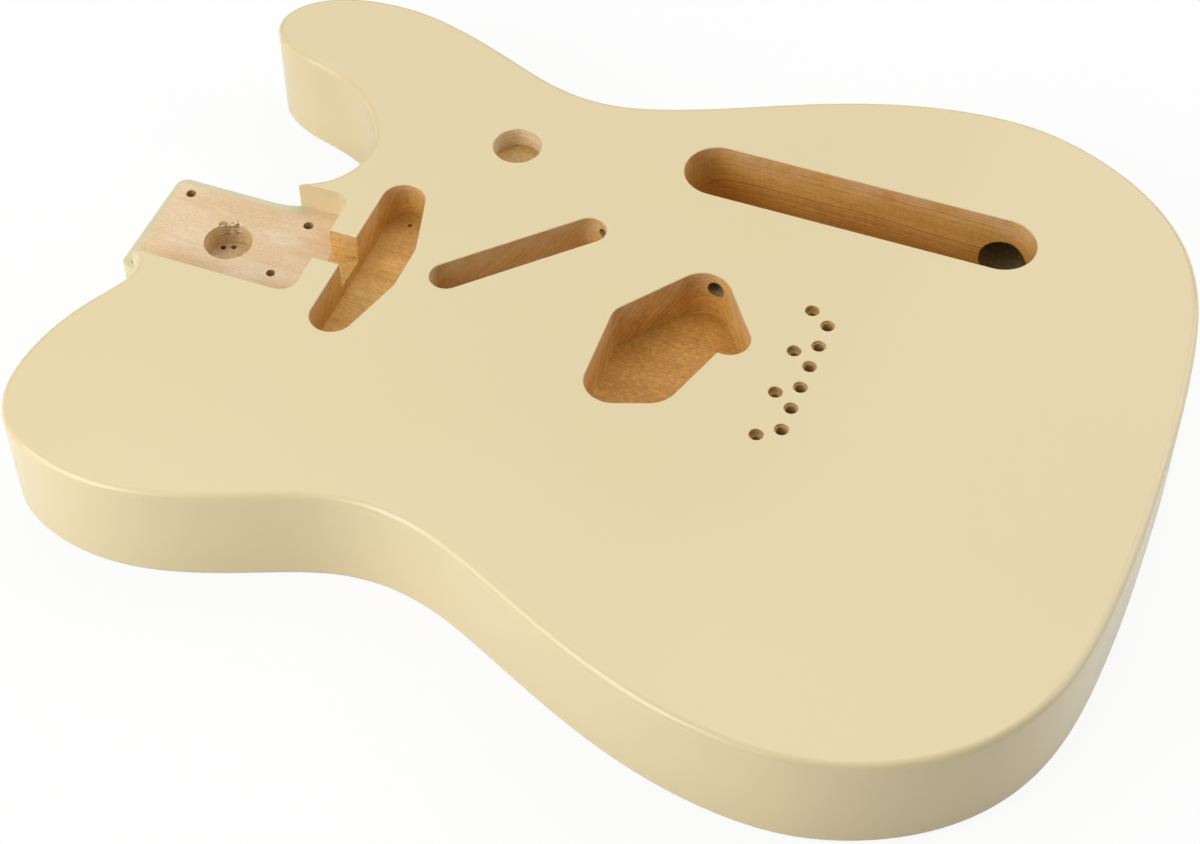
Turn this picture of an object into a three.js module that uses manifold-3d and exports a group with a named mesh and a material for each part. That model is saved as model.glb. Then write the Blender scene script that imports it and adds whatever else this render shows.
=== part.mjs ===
import * as THREE from "three";
import { mergeVertices } from "three/addons/utils/BufferGeometryUtils.js";
import Module from "manifold-3d";

const wasm = await Module();
wasm.setup();

// The bare solid body of a bolt-on-neck electric guitar: three boards glued edge to edge, shaped,
// routed and drilled. Millimetres. +X runs from the neck end to the tail, +Y to the treble side
// and +Z up out of the face. The origin is under the middle of the body.

// Blank
const bodyLength = 403;
const bodyWidth = 322;
const bodyThickness = 45;
const edgeRound = 3;
const centreBoardWidth = 116;

// Neck pocket, open at the neck end, and the heel shelf under it
const neckPocketLength = 74;
const neckPocketWidth = 55.4;
const neckPocketDepth = 13;
const neckPocketCorner = 6.5;
const neckEndSetback = 3.8;
const heelTrebleInset = 2.1;
const heelBassInset = 2.3;
const heelTrebleCorner = 4.8;
const heelBassCorner = 3.8;
const heelFlankRun = 8.5;
const heelFlankDrop = 2.7;

// Neck screw holes through the heel, and one more small hole in the pocket floor
const neckScrewHole = 4;
const neckScrewSpacingX = 50.9;
const neckScrewSpacingY = 38.1;
const neckScrewFromWall = 15.1;
const neckScrewOffset = 0.65;
const spareHole = 3.6;
const spareHoleDepth = 12;
const spareHoleFromWall = 17.7;
const spareHoleOffset = 10.1;

// Round blind hole in the pocket floor, with two nail holes in its own floor
const pocketHole = 19;
const pocketHoleDepth = 10;
const pocketHoleFromWall = 40.4;
const pocketHoleOffset = 0.5;
const pocketNailHole = 2.2;
const pocketNailDepth = 4;
const pocketNailShares = [[-0.62, 0.53], [-0.22, 0.7]];

// Channel from the pocket to the neck pickup rout
const tabThickness = 11;
const channelWidth = 15.4;
const channelDepth = 12.6;

// Neck pickup rout: straight toward the neck, blunt ends, and a short straight toward the tail
const neckRoutLength = 82.6;
const neckRoutWidth = 24.1;
const neckRoutDepth = 17.5;
const neckRoutFlat = 19.8;
const neckRoutEnd = 15.5;
const neckRoutCorner = 8.8;
const neckRoutShoulder = 6;
const neckNailHole = 1.6;
const neckNailDepth = 5;
const neckNailShares = [0.36, 0.885];

// Diagonal slot between the two pickup routs
const slotWidth = 13.6;
const slotSpan = 58.8;
const slotDepth = 20;
const slotTurnShare = 0.252;
const slotPlaceShares = [-0.256, 0.136];

// Round blind hole near the treble waist
const waistHole = 19.6;
const waistHoleDepth = 8.2;
const waistHoleShares = [-0.369, 0.476];

// Bridge pickup rout, with its corners as shares of its half length and half width
const bridgeRoutLength = 53.2;
const bridgeRoutWidth = 74.6;
const bridgeRoutDepth = 21.5;
const bridgeRoutFromStrings = 50.4;
const bridgeRoutNeckCorner = 8;
const bridgeRoutTrebleCorner = 11.1;
const bridgeRoutTailBump = 8.3;
const bridgeRoutBellyCorner = 12.5;
const bridgeRoutBassCorner = 11.2;
const bridgeRoutShares = [[-0.996, 0.177], [0.079, 1.208], [1.374, -0.079], [0.632, 0.003],
  [0.276, -0.81], [-0.915, -1.121]];

// String holes, through to the back, and the bridge screw pilots beside them
const stringRowShare = 0.344;
const stringCount = 6;
const stringPitch = 10.8;
const stringHole = 4.1;
const stringMouthDepth = 0.9;
const holeMouth = 5.8;
const ferruleHole = 8;
const ferruleDepth = 9.5;
const bridgeScrewCount = 4;
const bridgeScrewFromStrings = 7.7;
const bridgeScrewHole = 3;
const bridgeScrewMouthDepth = 2.4;
const bridgeScrewDepth = 20;

// Control cavity, and the jack bore from its tail end out through the side
const controlSpan = 113.5;
const controlWidth = 27.4;
const controlDepth = 38;
const controlShares = [0.304, 0.5655];
const jackBore = 21;

// Wire holes between the hollows
const neckWireHole = 6;
const neckWireDrop = 12;
const slotWireHole = 5;
const slotWireDrop = 6.1;
const bridgeWireHole = 7;
const bridgeWireDrop = 7.6;
const bridgeWireShare = 0.14;

// How far a cutter runs past the face that it opens
const overrun = 2;

// Facets
const splineSteps = 3;
const edgeSteps = 3;
const roundSteps = 32;
const smallHoleSteps = 16;

// Places worked out from the sizes
const halfLength = bodyLength / 2;
const halfWidth = bodyWidth / 2;
const neckEndX = -halfLength + neckEndSetback;
const heelWallX = neckEndX + neckPocketLength;
const heelTrebleY = neckPocketWidth / 2 - heelTrebleInset;
const heelBassY = heelBassInset - neckPocketWidth / 2;
const neckRoutX = heelWallX + tabThickness;
const stringRowX = stringRowShare * halfLength;
const bridgeRoutX = stringRowX - bridgeRoutFromStrings;
const controlX = controlShares[0] * halfLength;
const controlY = controlShares[1] * halfWidth;
const slotPlace = new THREE.Vector2(slotPlaceShares[0] * halfLength, slotPlaceShares[1] * halfWidth);
const slotTurn = slotTurnShare * Math.PI;
const slotHalf = new THREE.Vector2(slotSpan / 2, 0).rotateAround(new THREE.Vector2(), slotTurn);

// Control points of the outline's curve, as shares of the half length and half width: round the
// cutaway and horn, down the treble side, across the tail and up the bass side to the heel
const outlineShares = [
  [-0.703, 0.184], [-0.667, 0.217], [-0.643, 0.265], [-0.634, 0.324], [-0.641, 0.392],
  [-0.673, 0.464], [-0.726, 0.524], [-0.793, 0.563], [-0.857, 0.583], [-0.912, 0.61],
  [-0.96, 0.656], [-0.974, 0.716], [-0.949, 0.785], [-0.892, 0.839], [-0.807, 0.868],
  [-0.708, 0.87], [-0.599, 0.836], [-0.48, 0.778], [-0.366, 0.715], [-0.252, 0.696],
  [-0.133, 0.735], [-0.003, 0.808], [0.135, 0.892], [0.284, 0.963], [0.443, 1.004],
  [0.592, 1.001], [0.736, 0.93], [0.85, 0.828], [0.931, 0.694], [0.974, 0.535],
  [0.991, 0.355], [1, 0.174], [1, 0], [0.999, -0.179], [0.991, -0.353],
  [0.975, -0.532], [0.935, -0.696], [0.854, -0.838], [0.736, -0.941], [0.592, -1.003],
  [0.443, -1.001], [0.284, -0.959], [0.135, -0.886], [-0.003, -0.802], [-0.133, -0.723],
  [-0.252, -0.688], [-0.366, -0.706], [-0.48, -0.767], [-0.599, -0.825], [-0.708, -0.853],
  [-0.807, -0.847], [-0.894, -0.813], [-0.961, -0.756], [-0.998, -0.669], [-1.003, -0.569],
  [-0.991, -0.47], [-0.964, -0.374], [-0.931, -0.297], [-0.908, -0.238]];

// Its control points beside the heel, as shares of the pocket's length and of the bass flank
const heelTrebleShares = [0.23, 0.365, 0.5, 0.635];
const heelFlankShares = [1.39, 0.75, 0.12];

// Points on a uniform cubic B-spline
function splinePoints(controls) {
  const points = [];
  for (let i = 0; i < controls.length - 3; i += 1) {
    for (let k = 0; k < splineSteps; k += 1) {
      const t = k / splineSteps;
      const shares = [(1 - t) ** 3, 3 * t ** 3 - 6 * t ** 2 + 4, 3 * (t + t ** 2 - t ** 3) + 1, t ** 3];
      const point = new THREE.Vector2();
      shares.forEach((share, j) => point.addScaledVector(controls[i + j], share / 6));
      points.push(point);
    }
  }
  return points;
}

// A polygon with rounded corners, no corner taking more of a side than its neighbour leaves
function roundedPolygon(corners) {
  const at = (list, i) => list[(i + list.length) % list.length];
  const bends = corners.map(({ point, radius }, i) => {
    const before = at(corners, i - 1).point.clone().sub(point);
    const after = at(corners, i + 1).point.clone().sub(point);
    const half = before.angleTo(after) / 2;
    return { point, before, after, half, reach: radius / Math.tan(half) };
  });
  return bends.flatMap(({ point, before, after, half, reach }, i) => {
    if (reach === 0) {
      return [point];
    }
    const roomBefore = (before.length() * reach) / (reach + at(bends, i - 1).reach);
    const roomAfter = (after.length() * reach) / (reach + at(bends, i + 1).reach);
    const room = Math.min(reach, roomBefore, roomAfter);
    const start = before.clone().setLength(room).add(point);
    const end = after.clone().setLength(room).add(point);
    const middle = start.clone().add(end).divideScalar(2);
    const centre = middle.sub(point).divideScalar(Math.cos(half) ** 2).add(point);
    const sweep = (Math.PI - 2 * half) * Math.sign(after.cross(before));
    const steps = Math.ceil((Math.abs(sweep) / Math.PI) * (roundSteps / 2));
    return [...Array(steps + 1).keys()].map((k) => start.clone().rotateAround(centre, (sweep * k) / steps));
  });
}

// A slot's outline: two half circles joined by straight sides
function slotPoints(centre, turn, span, width) {
  const origin = new THREE.Vector2();
  const halfSteps = roundSteps / 2;
  return [0, 1].flatMap((end) => [...Array(halfSteps + 1).keys()].map((k) => {
    const rim = new THREE.Vector2(0, -width / 2).rotateAround(origin, (k / halfSteps) * Math.PI);
    rim.x += span / 2;
    return rim.rotateAround(origin, turn + end * Math.PI).add(centre);
  }));
}

function solidOf(geometry) {
  geometry.deleteAttribute("normal");
  geometry.deleteAttribute("uv");
  const merged = mergeVertices(geometry);
  const index = merged.index.array;
  const triangles = [];
  for (let i = 0; i < index.length; i += 3) {
    const triangle = [index[i], index[i + 1], index[i + 2]];
    if (new Set(triangle).size === 3) {
      triangles.push(...triangle);
    }
  }
  const vertProperties = merged.attributes.position.array;
  const triVerts = new Uint32Array(triangles);
  return new wasm.Manifold(new wasm.Mesh({ numProp: 3, vertProperties, triVerts }));
}

// A straight-sided cut down into the face
function rout(points, depth) {
  const shape = new THREE.Shape(points);
  const geometry = new THREE.ExtrudeGeometry(shape, { depth: depth + overrun, bevelEnabled: false });
  return solidOf(geometry.translate(0, 0, bodyThickness - depth));
}

// An upright hole turned from a wall of [radius, height] pairs, lowest first
function turnedHole(x, y, wall, steps) {
  const profile = [[0, wall[0][1]], ...wall, [0, wall[wall.length - 1][1]]];
  const geometry = new THREE.LatheGeometry(profile.map(([r, z]) => new THREE.Vector2(r, z)), steps);
  return solidOf(geometry.rotateX(Math.PI / 2).translate(x, y, 0));
}

function plainHole(x, y, diameter, lowZ, highZ, steps = smallHoleSteps) {
  return turnedHole(x, y, [[diameter / 2, lowZ], [diameter / 2, highZ]], steps);
}

// A level bore from one point to another
function levelBore(from, to, z, diameter, steps = smallHoleSteps) {
  const run = to.clone().sub(from);
  const middle = from.clone().add(to).divideScalar(2);
  const geometry = new THREE.CylinderGeometry(diameter / 2, diameter / 2, run.length(), steps);
  return solidOf(geometry.rotateZ(run.angle() - Math.PI / 2).translate(middle.x, middle.y, z));
}

function corner(x, y, radius = 0) {
  return { point: new THREE.Vector2(x, y), radius };
}

// The curve all round, closed by the straight sides and two corners of the heel
function bodyOutline() {
  const treble = heelTrebleShares.map((share) => [neckEndX + share * neckPocketLength, heelTrebleY]);
  const round = outlineShares.map(([u, v]) => [u * halfLength, v * halfWidth]);
  const flank = heelFlankShares.map((share) => [neckEndX + share * heelFlankRun,
    heelBassY - share * heelFlankDrop]);
  const curve = splinePoints([...treble, ...round, ...flank].map(([x, y]) => new THREE.Vector2(x, y)));
  return roundedPolygon([
    ...curve.map((point) => ({ point, radius: 0 })),
    corner(neckEndX, heelBassY, heelBassCorner),
    corner(neckEndX, heelTrebleY, heelTrebleCorner)]);
}

function blank() {
  const geometry = new THREE.ExtrudeGeometry(new THREE.Shape(bodyOutline()), {
    depth: bodyThickness - 2 * edgeRound,
    bevelThickness: edgeRound,
    bevelSize: edgeRound,
    bevelOffset: -edgeRound,
    bevelSegments: edgeSteps,
  });
  return solidOf(geometry.translate(0, 0, edgeRound));
}

function neckPocketCuts() {
  const openX = -halfLength - overrun;
  const pocket = roundedPolygon([
    corner(openX, neckPocketWidth / 2),
    corner(openX, -neckPocketWidth / 2),
    corner(heelWallX, -neckPocketWidth / 2, neckPocketCorner),
    corner(heelWallX, neckPocketWidth / 2, neckPocketCorner)]);
  const floorZ = bodyThickness - neckPocketDepth;
  const screws = [0, 1].flatMap((row) => [1, -1].map((side) => {
    const x = heelWallX - neckScrewFromWall - row * neckScrewSpacingX;
    const y = (side * neckScrewSpacingY) / 2 - neckScrewOffset;
    return plainHole(x, y, neckScrewHole, -overrun, bodyThickness);
  }));
  const spareX = heelWallX - spareHoleFromWall;
  const holeX = heelWallX - pocketHoleFromWall;
  const holeFloorZ = floorZ - pocketHoleDepth;
  const nails = pocketNailShares.map(([u, v]) => plainHole(
    holeX + (u * pocketHole) / 2,
    (v * pocketHole) / 2 - pocketHoleOffset,
    pocketNailHole,
    holeFloorZ - pocketNailDepth,
    floorZ));
  return [
    rout(pocket, neckPocketDepth),
    ...screws,
    plainHole(spareX, -spareHoleOffset, spareHole, floorZ - spareHoleDepth, bodyThickness),
    plainHole(holeX, -pocketHoleOffset, pocketHole, holeFloorZ, bodyThickness, roundSteps),
    ...nails,
  ];
}

function neckPickupCuts() {
  const endX = neckRoutX + neckRoutEnd;
  const tailX = neckRoutX + neckRoutWidth;
  const pickup = roundedPolygon([
    corner(neckRoutX, neckRoutLength / 2, neckRoutCorner),
    corner(neckRoutX, -neckRoutLength / 2, neckRoutCorner),
    corner(endX, -neckRoutLength / 2, neckRoutCorner),
    corner(tailX, -neckRoutFlat / 2, neckRoutShoulder),
    corner(tailX, neckRoutFlat / 2, neckRoutShoulder),
    corner(endX, neckRoutLength / 2, neckRoutCorner)]);
  const channel = [
    new THREE.Vector2(heelWallX - overrun, -channelWidth / 2),
    new THREE.Vector2(neckRoutX + overrun, -channelWidth / 2),
    new THREE.Vector2(neckRoutX + overrun, channelWidth / 2),
    new THREE.Vector2(heelWallX - overrun, channelWidth / 2)];
  const nailX = neckRoutX + neckNailShares[0] * neckRoutWidth;
  const nailY = (neckNailShares[1] * neckRoutLength) / 2;
  const floorZ = bodyThickness - neckRoutDepth;
  return [
    rout(pickup, neckRoutDepth),
    rout(channel, channelDepth),
    plainHole(nailX, nailY, neckNailHole, floorZ - neckNailDepth, bodyThickness),
  ];
}

// Bridge pickup rout, string holes and bridge screw pilots
function bridgeCuts() {
  const radii = [bridgeRoutNeckCorner, bridgeRoutTrebleCorner, bridgeRoutTailBump, 0,
    bridgeRoutBellyCorner, bridgeRoutBassCorner];
  const pickup = roundedPolygon(bridgeRoutShares.map(([u, v], i) => corner(
    bridgeRoutX + (u * bridgeRoutLength) / 2,
    (v * bridgeRoutWidth) / 2,
    radii[i])));
  const mouth = [[holeMouth / 2, bodyThickness], [holeMouth / 2, bodyThickness + overrun]];
  const stringWall = [
    [ferruleHole / 2, -overrun],
    [ferruleHole / 2, ferruleDepth],
    [stringHole / 2, ferruleDepth],
    [stringHole / 2, bodyThickness - stringMouthDepth],
    ...mouth];
  const screwWall = [
    [bridgeScrewHole / 2, bodyThickness - bridgeScrewDepth],
    [bridgeScrewHole / 2, bodyThickness - bridgeScrewMouthDepth],
    ...mouth];
  const strings = [...Array(stringCount).keys()].map((i) => turnedHole(
    stringRowX,
    (i - (stringCount - 1) / 2) * stringPitch,
    stringWall,
    smallHoleSteps));
  const screws = [...Array(bridgeScrewCount).keys()].map((i) => turnedHole(
    stringRowX - bridgeScrewFromStrings,
    (i - (bridgeScrewCount - 1) / 2) * 2 * stringPitch,
    screwWall,
    smallHoleSteps));
  return [rout(pickup, bridgeRoutDepth), ...strings, ...screws];
}

function trebleCuts() {
  const centre = new THREE.Vector2(controlX, controlY);
  const tailEnd = new THREE.Vector2(controlX + controlSpan / 2, controlY);
  const side = new THREE.Vector2(tailEnd.x, halfWidth + overrun);
  const waistX = waistHoleShares[0] * halfLength;
  const waistY = waistHoleShares[1] * halfWidth;
  const waistFloorZ = bodyThickness - waistHoleDepth;
  return [
    rout(slotPoints(centre, 0, controlSpan, controlWidth), controlDepth),
    levelBore(tailEnd, side, bodyThickness / 2, jackBore, roundSteps),
    plainHole(waistX, waistY, waistHole, waistFloorZ, bodyThickness + overrun, roundSteps),
  ];
}

// The diagonal slot, and the wire holes that join the hollows
function wireCuts() {
  const slotNeckEnd = slotPlace.clone().sub(slotHalf);
  const slotTailEnd = slotPlace.clone().add(slotHalf);
  const neckRoutMiddle = new THREE.Vector2(neckRoutX + neckRoutWidth / 2, slotNeckEnd.y);
  const controlNeckEnd = new THREE.Vector2(controlX - controlSpan / 2, controlY);
  const bridgeWireX = bridgeRoutX + (bridgeWireShare * bridgeRoutLength) / 2;
  const bridgeWireStart = new THREE.Vector2(bridgeWireX, bridgeRoutWidth / 2 - bridgeRoutTrebleCorner);
  const bridgeWireEnd = new THREE.Vector2(bridgeWireX, controlY);
  return [
    rout(slotPoints(slotPlace, slotTurn, slotSpan, slotWidth), slotDepth),
    levelBore(neckRoutMiddle, slotNeckEnd, bodyThickness - neckWireDrop, neckWireHole),
    levelBore(slotTailEnd, controlNeckEnd, bodyThickness - slotWireDrop, slotWireHole),
    levelBore(bridgeWireStart, bridgeWireEnd, bodyThickness - bridgeWireDrop, bridgeWireHole),
  ];
}

const cuts = [...neckPocketCuts(), ...neckPickupCuts(), ...bridgeCuts(), ...trebleCuts(), ...wireCuts()];
const body = cuts.reduce((solid, cut) => solid.subtract(cut), blank());

// One board of the body, between two glue lines
function board(name, lowY, highY, color) {
  const slab = new THREE.BoxGeometry(2 * bodyLength, highY - lowY, 2 * bodyThickness);
  const solid = body.intersect(solidOf(slab.translate(0, (lowY + highY) / 2, bodyThickness / 2)));
  const { vertProperties, triVerts } = solid.getMesh();
  const geometry = new THREE.BufferGeometry();
  geometry.setAttribute("position", new THREE.BufferAttribute(vertProperties, 3));
  geometry.setIndex(new THREE.BufferAttribute(triVerts, 1));
  geometry.computeVertexNormals();
  const material = new THREE.MeshStandardMaterial({ color, roughness: 0.25, metalness: 0 });
  const mesh = new THREE.Mesh(geometry, material);
  mesh.name = name;
  return mesh;
}

const group = new THREE.Group();
group.add(board("board_centre", -centreBoardWidth / 2, centreBoardWidth / 2, "#e7d9b3"));
group.add(board("board_treble", centreBoardWidth / 2, bodyWidth, "#e5d6ae"));
group.add(board("board_bass", -bodyWidth, -centreBoardWidth / 2, "#e6d8b1"));

export default group;
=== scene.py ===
import math

import bmesh
import bpy
from mathutils import Matrix, Quaternion, Vector


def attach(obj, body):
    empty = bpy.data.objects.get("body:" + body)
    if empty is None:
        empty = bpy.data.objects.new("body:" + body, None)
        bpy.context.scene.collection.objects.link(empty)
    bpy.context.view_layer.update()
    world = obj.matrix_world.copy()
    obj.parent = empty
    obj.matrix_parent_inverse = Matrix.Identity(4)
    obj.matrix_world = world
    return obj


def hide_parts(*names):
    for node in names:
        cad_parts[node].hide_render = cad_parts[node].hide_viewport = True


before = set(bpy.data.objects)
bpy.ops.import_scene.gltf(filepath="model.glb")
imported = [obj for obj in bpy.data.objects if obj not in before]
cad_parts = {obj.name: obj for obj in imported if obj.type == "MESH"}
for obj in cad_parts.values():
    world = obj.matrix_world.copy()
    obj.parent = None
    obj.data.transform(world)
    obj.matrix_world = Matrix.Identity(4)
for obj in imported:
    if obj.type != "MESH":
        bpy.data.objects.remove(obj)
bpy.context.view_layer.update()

# The meshes are drawn in millimetres and shrunk to metres when they are done
mm = 0.001
# Height of the painted face above the flat back
faceHeight = 45.0

# Order of the material slots on the body and on every cutter
(paintSlot, sealedSlot, rawSlot, shadedBoreSlot, heelSlot, drillSlot, pocketHoleSlot, dustySlot, shadedFloorSlot,
 waistSlot, waistFloorSlot, bridgeWallSlot) = range(12)


def linearColour(code, alpha=1.0):
    values = [int(code[i:i + 2], 16) / 255 for i in (1, 3, 5)]
    return [v / 12.92 if v <= 0.04045 else ((v + 0.055) / 1.055) ** 2.4 for v in values] + [alpha]


def addNode(tree, kind, settings=None, links=None):
    node = tree.nodes.new(kind)
    for key, value in (settings or {}).items():
        if isinstance(key, int) or key in node.inputs:
            node.inputs[key].default_value = value
        else:
            setattr(node, key, value)
    for key, source in (links or {}).items():
        tree.links.new(source, node.inputs[key])
    return node


def makeObject(name, work, materials=()):
    mesh = bpy.data.meshes.new(name)
    work.to_mesh(mesh)
    work.free()
    made = bpy.data.objects.new(name, mesh)
    bpy.context.scene.collection.objects.link(made)
    for material in materials:
        mesh.materials.append(material)
    return made


def newMaterial(name):
    material = bpy.data.materials.new(name)
    material.use_nodes = True
    return material, material.node_tree, material.node_tree.nodes["Principled BSDF"]


# A finished material's node tree, its shader and what feeds the shader's colour
def openMaterial(material):
    tree = material.node_tree
    shader = tree.nodes["Principled BSDF"]
    return tree, shader, shader.inputs["Base Color"].links[0].from_socket


def placeInMm(tree):
    place = addNode(tree, "ShaderNodeTexCoord").outputs["Object"]
    perMetre = 1 / mm
    return addNode(
        tree, "ShaderNodeMapping", {"Scale": (perMetre, perMetre, perMetre)}, {"Vector": place}).outputs[0]


def splitAxes(tree, vector):
    return addNode(tree, "ShaderNodeSeparateXYZ", {}, {0: vector}).outputs


def lengthOf(tree, axes):
    vector = addNode(tree, "ShaderNodeCombineXYZ", {}, axes).outputs[0]
    return addNode(tree, "ShaderNodeVectorMath", {"operation": "LENGTH"}, {0: vector}).outputs["Value"]


# Noise of one size in millimetres, alike in all directions
def evenNoise(tree, size, detail, roughness=0.5):
    place = addNode(tree, "ShaderNodeTexCoord").outputs["Object"]
    return addNode(
        tree, "ShaderNodeTexNoise", {"Scale": 1 / (size * mm), "Detail": detail, "Roughness": roughness},
        {"Vector": place}).outputs[0]


# Noise that repeats the given number of times in a millimetre along X, Y and Z
def stretchedNoise(tree, place, perMm, detail=2.0, roughness=0.5):
    moved = addNode(tree, "ShaderNodeMapping", {"Scale": perMm}, {"Vector": place})
    return addNode(
        tree, "ShaderNodeTexNoise", {"Scale": 1.0, "Detail": detail, "Roughness": roughness},
        {"Vector": moved.outputs[0]}).outputs[0]


# Noise along a single value
def lineNoise(tree, value, scale, detail, roughness=0.5):
    return addNode(
        tree, "ShaderNodeTexNoise",
        {"noise_dimensions": "1D", "Scale": scale, "Detail": detail, "Roughness": roughness},
        {"W": value}).outputs[0]


def ranged(tree, value, low, high, to=(0.0, 1.0)):
    return addNode(
        tree, "ShaderNodeMapRange", {"From Min": low, "From Max": high, "To Min": to[0], "To Max": to[1]},
        {"Value": value}).outputs[0]


def applied(tree, operation, value):
    return addNode(tree, "ShaderNodeMath", {"operation": operation}, {0: value}).outputs[0]


def combined(tree, operation, first, second):
    links = {i: v for i, v in enumerate((first, second)) if not isinstance(v, float)}
    settings = {i: v for i, v in enumerate((first, second)) if isinstance(v, float)}
    return addNode(tree, "ShaderNodeMath", {"operation": operation, **settings}, links).outputs[0]


def product(tree, result, *others):
    for other in others:
        result = combined(tree, "MULTIPLY", result, other)
    return result


def total(tree, result, *others):
    for other in others:
        result = combined(tree, "ADD", result, other)
    return result


def less(tree, first, second):
    return combined(tree, "SUBTRACT", first, second)


def blended(tree, share, first, second):
    settings, links = {"data_type": "RGBA"}, {0: share}
    for socket, colour in ((6, first), (7, second)):
        if isinstance(colour, str):
            settings[socket] = linearColour(colour)
        else:
            links[socket] = colour
    return addNode(tree, "ShaderNodeMix", settings, links).outputs[2]


def addBump(tree, shader, height, depth, strength=1.0):
    bump = addNode(tree, "ShaderNodeBump", {"Strength": strength, "Distance": depth * mm}, {"Height": height})
    tree.links.new(bump.outputs[0], shader.inputs["Normal"])


# Gloss polyurethane lacquer, sprayed cream and rubbed out: an even opaque colour under a smooth clear shine,
# with only a trace of orange peel and a slight drift of tone from one spray pass to the next
lacquerLook = {
    "colour": "#DECDA3", "drift": "#DCCB9F", "driftSize": 90.0,
    "peelSize": 2.2, "peelHeight": 0.0012, "roughness": 0.16, "ior": 1.5,
}


def creamLacquer():
    look = lacquerLook
    material, tree, shader = newMaterial("cream_polyurethane_lacquer")
    drift = evenNoise(tree, look["driftSize"], detail=2.0)
    tree.links.new(blended(tree, drift, look["colour"], look["drift"]), shader.inputs["Base Color"])
    addBump(tree, shader, evenNoise(tree, look["peelSize"], detail=1.0), look["peelHeight"])
    shader.inputs["Roughness"].default_value = look["roughness"]
    shader.inputs["IOR"].default_value = look["ior"]
    return material


# Alder, a plain diffuse-pored wood: growth rings that show as thin uneven lines running with the boards and
# as sweeping curves where a wall cuts across them, with fine short pores. Lengths are in millimetres, the
# rings' centre is a place in Y and Z, and dust and floors are measured up from the back. Under its sealer the
# wood is a warm orange brown, with dull pale overspray toward the rims.
sealedLook = {
    "light": "#E1B465", "body": "#D4A251", "line": "#8C6030", "pore": "#7C5628", "dust": "#E0C09C",
    "ringSpacing": 2.1, "ringCentre": (130.0, -60.0), "lineShare": 0.7, "poreShare": 0.45, "flatLines": 0.35,
    "fibreLow": 0.84, "fibreHigh": 1.12, "mottle": 0.2, "dustShare": 0.6, "dustFrom": 33.0, "flatDust": 0.3,
    "dustLow": 0.2, "wander": 22.0, "roughness": 0.5, "grainHeight": 0.06,
    "corner": "#E6CDA0", "cornerShare": 0.0, "floorHeight": 0.0,
}
# The same wood with a thin pale line round the floors of the two pickup routs, partly sealer and partly a
# painted highlight
neckRoutLook = dict(sealedLook, cornerShare=0.8, floorHeight=27.5)
bridgeWallLook = dict(sealedLook, cornerShare=0.6, floorHeight=23.5)
# Straighter, bolder lines in the control cavity
trebleLook = dict(
    sealedLook, ringCentre=(165.0, -70.0), ringSpacing=2.3, mottle=0.12, wander=7.0, lineShare=0.9)
# More overspray deep in the narrow slot, a floor in the bridge rout darkened as painted shade, and a pale
# wall over a dull floor in the round hole near the waist
dustyLook = dict(
    sealedLook, dust="#DDC08C", mottle=0.26, dustShare=0.9, dustFrom=12.0, dustLow=0.4, flatDust=0.0)
shadedBridgeFloorLook = dict(sealedLook, light="#CE9B49", body="#C48C38", mottle=0.3)
waistLook = dict(
    sealedLook, light="#EFDBB0", body="#E7CDA0", line="#B48A60", pore="#A87C50", dust="#EBD6B8", mottle=0.24,
    dustLow=0.4)
waistFloorLook = dict(sealedLook, light="#CBA96C", body="#BF9858", mottle=0.26, flatDust=0.0)
# Bare wood, pale, dull and even, in the neck pocket and on the glue faces
rawLook = {
    "light": "#E4CCA8", "body": "#DDBE94", "line": "#CE9A66", "pore": "#C49466", "dust": "#E8D2B2",
    "ringSpacing": 3.4, "ringCentre": (110.0, -75.0), "lineShare": 0.5, "poreShare": 0.25, "flatLines": 0.7,
    "fibreLow": 0.94, "fibreHigh": 1.04, "mottle": 0.055, "dustShare": 0.0, "dustFrom": 33.0, "flatDust": 0.0,
    "dustLow": 0.2, "wander": 22.0, "roughness": 0.7, "grainHeight": 0.05,
    "corner": "#E6CDA0", "cornerShare": 0.0, "floorHeight": 0.0,
}

# The grain that all these looks share. A noise is given by its repeats in a millimetre, with the grain along
# X, a push by its reach in millimetres, and an edge by the noise's levels where it starts and ends.
grain = {
    "wander": (0.007, 0.018, 0.018), "ripple": (0.03, 0.14, 0.14), "ripplePush": 3.2,
    "uneven": 0.16, "unevenPush": 9.0,
    "ringEnds": 0.3, "ringSteps": ((0.2, 0.0), (0.7, 0.15), (0.9, 1.0)), "chancePower": 1.8, "faintest": 0.2,
    "middle": (0.3, 0.7), "fibre": (0.17, 2.0, 2.0), "streak": 1.1, "flatStreak": (0.97, 1.03),
    "marks": (0.9, 0.9, 0.03), "marksTone": (0.94, 1.05), "marksRelief": 0.6,
    "speckle": (0.45, 0.6, 0.6), "pore": (0.4, 3.4, 3.4), "poreEdge": (0.1, 0.26),
    "patch": (0.03, 0.08, 0.08), "patchEdge": (0.38, 0.64), "flatEdge": (0.3, 0.9),
    "dust": (0.12, 0.12, 0.12), "dustEdge": (0.35, 0.65),
    "corner": (0.7, 0.7, 0.7), "cornerEdge": (0.38, 0.56), "cornerReach": (0.7, 0.3),
}


# Distance from the trunk's centre, bent by its waviness, which is long along the grain
def bentRadius(tree, place, look):
    _, y, z = splitAxes(tree, place)
    centreY, centreZ = look["ringCentre"]
    radius = lengthOf(tree, {1: less(tree, y, centreY), 2: less(tree, z, centreZ)})
    wander = product(tree, stretchedNoise(tree, place, grain["wander"]), look["wander"])
    ripple = product(tree, stretchedNoise(tree, place, grain["ripple"], detail=3.0), grain["ripplePush"])
    return total(tree, radius, wander, ripple)


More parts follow.
